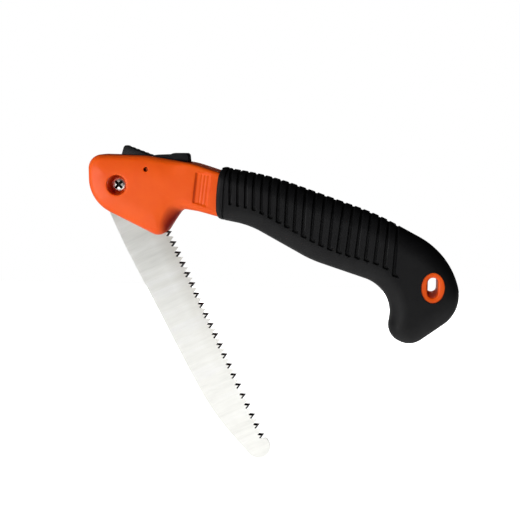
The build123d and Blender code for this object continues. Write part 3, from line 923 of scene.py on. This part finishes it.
def make_blade():
    """Blade with both faces netted apart, thinner towards its spine, its teeth set outwards and filed."""
    front, back, flank = blade_edges()
    n = len(front)
    c, s = math.cos(REST), math.sin(REST)
    bore = circle(0, 0, BORE_R, BORE_SIDES)
    inner = np.array([(u, v) for u in np.arange(24, 204, 4.0) for v in np.arange(-11, 10, 3.0)])
    verts, faces, slots, sides = [], [], [], []
    for sign, edge in ((1, front), (-1, back)):
        keep = inner[point_in(inner, edge) & (distance(inner, np.concatenate([edge, edge[:1]])) > 1.5)]
        loops = [list(range(n)), list(range(n, n + BORE_SIDES))]
        flat, tris = triangulated(np.concatenate([edge, bore, keep]), loops)
        base = len(verts)
        for i, (u, v) in enumerate(flat):
            half = BLADE_HALF - 0.16 * float(ease((9.5 - v) / 9) * ease((u - 22) / 20))
            if i < n and flank[i] and v > 14.9 - 3.2 * (u - FIRST) / (TEETH * PITCH):
                half += TOOTH_SET
            verts.append(at(u * c - v * s, u * s + v * c, sign * half))
        for t in tris:
            if np.hypot(*flat[list(t)].mean(0)) > BORE_R - 0.01:
                faces.append(tuple(base + i for i in (t if sign == 1 else t[::-1])))
                slots.append(0)
        sides.append(base)
    for k in range(n):
        a, b = k, (k + 1) % n
        faces.append((sides[0] + b, sides[0] + a, sides[1] + a, sides[1] + b))
        slots.append(1 if flank[a] and flank[b] else 0)
    for k in range(BORE_SIDES):
        a, b = n + k, n + (k + 1) % BORE_SIDES
        faces.append((sides[0] + a, sides[0] + b, sides[1] + b, sides[1] + a))
        slots.append(0)
    blade = new_object("saw_blade", verts, faces)
    blade.data.materials.append(BLADE)
    blade.data.materials.append(DARK_FLANK)
    blade.data.polygons.foreach_set("material_index", slots)
    return tidy(blade, 14)


# ------------------------------------------------------------------ lock lever
LEVER_HALF = 4.7
EYE_R = 3.9
SPRING_AT = 42.5


def make_lever():
    """Lever with a stepped thumb ramp, a nose narrowed towards its top, a pin hole and the spring's cup."""
    ramp0, ramp1, steps = np.array([4.1, 26.3]), np.array([22.3, 19.3]), 6
    d = (ramp1 - ramp0) / steps
    outline = [(1.7, 18.4), (1.9, 20.6), (2.9, 25.2)]
    for i in range(steps):
        p = ramp0 + d * i
        outline += [tuple(p), (p[0] + 0.72 * d[0], p[1] + 0.36 * d[1])]
    outline += [tuple(ramp1), (24.8, 19.9), (35.2, 20.3), (37.2, 21.1), (46.4, 21.1), (47.6, 19.9),
                (48.0, 15.4), (30.0, 14.6), (24.0, 12.6)]
    outline += [(PIN[0] + EYE_R * math.cos(a), PIN[1] + EYE_R * math.sin(a))
                for a in np.radians(range(20, -201, -20))]
    outline += [(15.0, 13.6), (10.2, 18.0)]
    lever = prism("lock_lever_body", outline, -LEVER_HALF, LEVER_HALF)
    for vert in lever.data.vertices:
        u, v = (vert.co.x - PIVOT.x) / MM, (vert.co.z - PIVOT.z) / MM
        vert.co.y *= 1 - 0.34 * float(ease((v - 19.5) / 6) * ease((24 - u) / 6))
    mod = lever.modifiers.new("edges", "BEVEL")
    mod.width = 0.45 * MM
    mod.segments = 3
    mod.limit_method = "ANGLE"
    mod.angle_limit = math.radians(28)
    mod.use_clamp_overlap = True
    apply_modifiers(lever)
    hole = prism("hole", circle(*PIN, 1.55, 40), -10, 10)
    well = circle(SPRING_AT, 0, 2.9, 40)
    cup_verts = [at(u, v, depth) for v in (10.0, 17.5) for u, depth in well]
    cup_faces = [tuple(range(40)), tuple(range(40, 80))]
    cup_faces += [(i, (i + 1) % 40, 40 + (i + 1) % 40, 40 + i) for i in range(40)]
    cup = tidy(new_object("cup", cup_verts, cup_faces))
    boolean(lever, [hole, cup])
    discard(hole, cup)
    return tidy(lever, 30)


# ------------------------------------------------------------------ pivot screw and lock pin
def make_screw():
    """Pan head screw: slightly domed head with a cross socket painted dark for its shade, plain shank and a
    chamfered end.
    """
    seat = 4.3
    top = seat + 2.6
    crown = 4.6
    profile = [(0.0, top)]
    profile += [(r, top - 0.75 * (r / crown) ** 2.4) for r in np.linspace(0, crown, 10)[1:]]
    profile += [(5.0, seat + 1.5), (5.28, seat + 1.1), (5.4, seat + 0.7), (5.4, seat + 0.12), (5.28, seat)]
    profile += [(2.5, seat), (2.5, -9.3), (1.9, -9.9), (0.0, -9.9)]
    screw = tidy(turned_profile("pivot_screw_body", profile), 40)
    cutters = []
    for turn in (45, 135):
        c, s = math.cos(math.radians(turn)), math.sin(math.radians(turn))
        verts = []
        for level, long, wide in ((top + 0.4, 4.1, 1.05), (top - 2.0, 1.5, 0.65)):
            for p, q in ((-long, -wide), (long, -wide), (long, wide), (-long, wide)):
                verts.append(at(p * c - q * s, p * s + q * c, level))
        faces = [(0, 1, 2, 3), (7, 6, 5, 4), (0, 4, 5, 1), (1, 5, 6, 2), (2, 6, 7, 3), (3, 7, 4, 0)]
        cutters.append(tidy(new_object("wing", verts, faces)))
    # the wings' faces, left as the socket's walls, take the dark socket metal: painted shade
    for piece, index in [(screw, 0)] + [(c, 1) for c in cutters]:
        piece.data.materials.append(ZINC)
        piece.data.materials.append(SOCKET_SHADE)
        piece.data.polygons.foreach_set("material_index", [index] * len(piece.data.polygons))
    boolean(screw, cutters)
    discard(*cutters)
    return tidy(screw, 32)


def make_pin():
    """Hollow lock pin, its ends rounded over."""
    end = [(0.0, 6.6), (1.1, 6.6), (1.1, 10.5), (1.2, 10.65), (1.38, 10.6), (1.5, 10.4)]
    profile = end + [(r, -d) for r, d in end[::-1]]
    return tidy(turned_profile("lock_pin_body", profile, PIN, 40), 40)


# ------------------------------------------------------------------ build
core, tongue = make_handle_core()
cutters = [
    prism("slot", slot_outline(), -SLOT_HALF, SLOT_HALF),
    prism("pocket", POCKET, -POCKET_HALF, POCKET_HALF),
    prism("bore", circle(0, 0, 4.0, 64), -BORE_HALF, BORE_HALF),
    prism("hole", obround(*LANYARD, *LANYARD_HOLE, 30), -12.0, 12.0),
]
boolean(core, cutters)
tidy(core, 32)
discard(*cutters)
grip = make_grip(tongue)
discard(tongue)

finish_piece(core, "handle", NYLON, ["handle_core"])
finish_piece(grip, "handle", RUBBER, ["grip_overmold"])
saw = finish_piece(make_blade(), "blade", None, ["blade"])
lever = finish_piece(make_lever(), "lever", LEVER_BLACK, ["lock_lever"])
screw = finish_piece(make_screw(), "handle", None, ["pivot_screw"])
finish_piece(make_pin(), "handle", DARK_STEEL, ["lock_pin"])

carried_over = {
    ZINC: ("pivot_sleeve", "screw_washer", "nut_washer", "pivot_nut"),
    BRONZE: ("thrust_washer_left", "thrust_washer_right"),
    DARK_STEEL: ("lock_pawl",),
    WIRE: ("lock_spring",),
}
for material, names in carried_over.items():
    for name in names:
        nodes[name].data.materials.clear()
        nodes[name].data.materials.append(material)

# ------------------------------------------------------------------ floor
FLOOR_HALF = 0.9
floor_z = cad_low.z - 0.045
corners = [(x * FLOOR_HALF, y * FLOOR_HALF, floor_z) for x, y in ((-1, -1), (1, -1), (1, 1), (-1, 1))]
floor = new_object("floor", corners, [(0, 1, 2, 3)])
# white to the eye, bright in front of the saw for its gloss, and throwing little light back up at it
k = Look("floor_paint")
k.feed("Base Color", k.ramp(k.noise(3, 2), [(0.3, (0.86, 0.86, 0.86, 1)), (0.7, (0.89, 0.89, 0.89, 1))]))
k.feed("Roughness", 0.9).feed("Specular IOR Level", 0.1)
ray = k.node("ShaderNodeLightPath")
place = k.node("ShaderNodeSeparateXYZ")
k.link(k.place, place.inputs[0])
in_front = k.span(place.outputs["Y"], 1.0, 0.05, -0.06, 0.10)
unless_diffuse = k.span(ray.outputs["Is Diffuse Ray"], 1.0, 0.3, 0.0, 1.0)
glow = k.calc(k.calc(in_front, unless_diffuse, "MULTIPLY"), ray.outputs["Is Camera Ray"], "MAXIMUM")
k.feed("Emission Color", (1, 1, 1, 1)).feed("Emission Strength", glow)
floor.data.materials.append(k.mat)

# ------------------------------------------------------------------ room
# white to the eye, but darker to the right, behind and above for the saw's light and gloss
world = bpy.data.worlds.new("studio")
world.use_nodes = True
bpy.context.scene.world = world
tree = world.node_tree
background = tree.nodes["Background"]
background.inputs["Color"].default_value = (1, 1, 1, 1)
direction = tree.nodes.new("ShaderNodeTexCoord")
parts = tree.nodes.new("ShaderNodeSeparateXYZ")
tree.links.new(direction.outputs["Generated"], parts.inputs[0])
falls = {"X": (-0.8, 0.3, 0.45, 0.03), "Y": (0.1, 0.7, 1.0, 0.45), "Z": (0.1, 0.7, 1.0, 0.3)}
levels = []
for axis, limits in falls.items():
    span = tree.nodes.new("ShaderNodeMapRange")
    span.interpolation_type = "SMOOTHSTEP"
    for key, value in zip(("From Min", "From Max", "To Min", "To Max"), limits):
        span.inputs[key].default_value = value
    tree.links.new(parts.outputs[axis], span.inputs["Value"])
    levels.append(span.outputs["Result"])
levels.append(tree.nodes.new("ShaderNodeLightPath").outputs["Is Camera Ray"])
strength = levels[0]
for operation, level in zip(("MULTIPLY", "MULTIPLY", "MAXIMUM"), levels[1:]):
    joined = tree.nodes.new("ShaderNodeMath")
    joined.operation = operation
    tree.links.new(strength, joined.inputs[0])
    tree.links.new(level, joined.inputs[1])
    strength = joined.outputs[0]
tree.links.new(strength, background.inputs["Strength"])


# ------------------------------------------------------------------ lamps
def turn_to(obj, target):
    """Point a lamp or a camera at a place."""
    obj.rotation_euler = (Vector(target) - obj.location).to_track_quat("-Z", "Y").to_euler()


def area_light(name, place, target, size, power):
    data = bpy.data.lights.new(name, "AREA")
    data.shape = "RECTANGLE"
    data.size, data.size_y = size
    data.energy = power
    obj = bpy.data.objects.new(name, data)
    bpy.context.scene.collection.objects.link(obj)
    obj.location = place
    turn_to(obj, target)
    return obj


def gleam_on(lamp, *objs):
    """Use a lamp for the gloss of those pieces only."""
    group = bpy.data.collections.new(lamp.name + "_receivers")
    for o in objs:
        group.objects.link(o)
    lamp.light_linking.receiver_collection = group
    lamp.visible_diffuse = False


REAR = ((0.0, 1.05, 0.12), (-0.02, 0, -0.02), (0.8, 0.6))
area_light("key", (-0.70, -1.00, 0.12), (-0.05, 0, -0.02), (0.7, 0.7), 10.4).visible_glossy = False
area_light("back_fill", *REAR, 8).visible_glossy = False
gleam_on(area_light("back_gleam", *REAR, 8), saw, nodes["pivot_nut"])
gleam_on(area_light("glint", (-0.90, -0.86, -0.20), (-0.12, 0, 0), (0.5, 0.34), 6.5), core, grip, lever)
gleam_on(area_light("sparkle", (-0.46, -1.05, -0.12), (-0.13, 0, 0), (0.4, 0.3), 1.8), screw)

# ------------------------------------------------------------------ camera
camera_data = bpy.data.cameras.new("camera")
camera_data.lens = 62.3
camera_data.sensor_width = 36
camera = bpy.data.objects.new("camera", camera_data)
bpy.context.scene.collection.objects.link(camera)
camera.location = (0.041, -0.597, 0.067)
turn_to(camera, (-0.0396, 0, -0.0236))
bpy.context.scene.camera = camera
bpy.context.scene.view_settings.view_transform = "Standard"
bpy.context.scene.view_settings.look = "None"
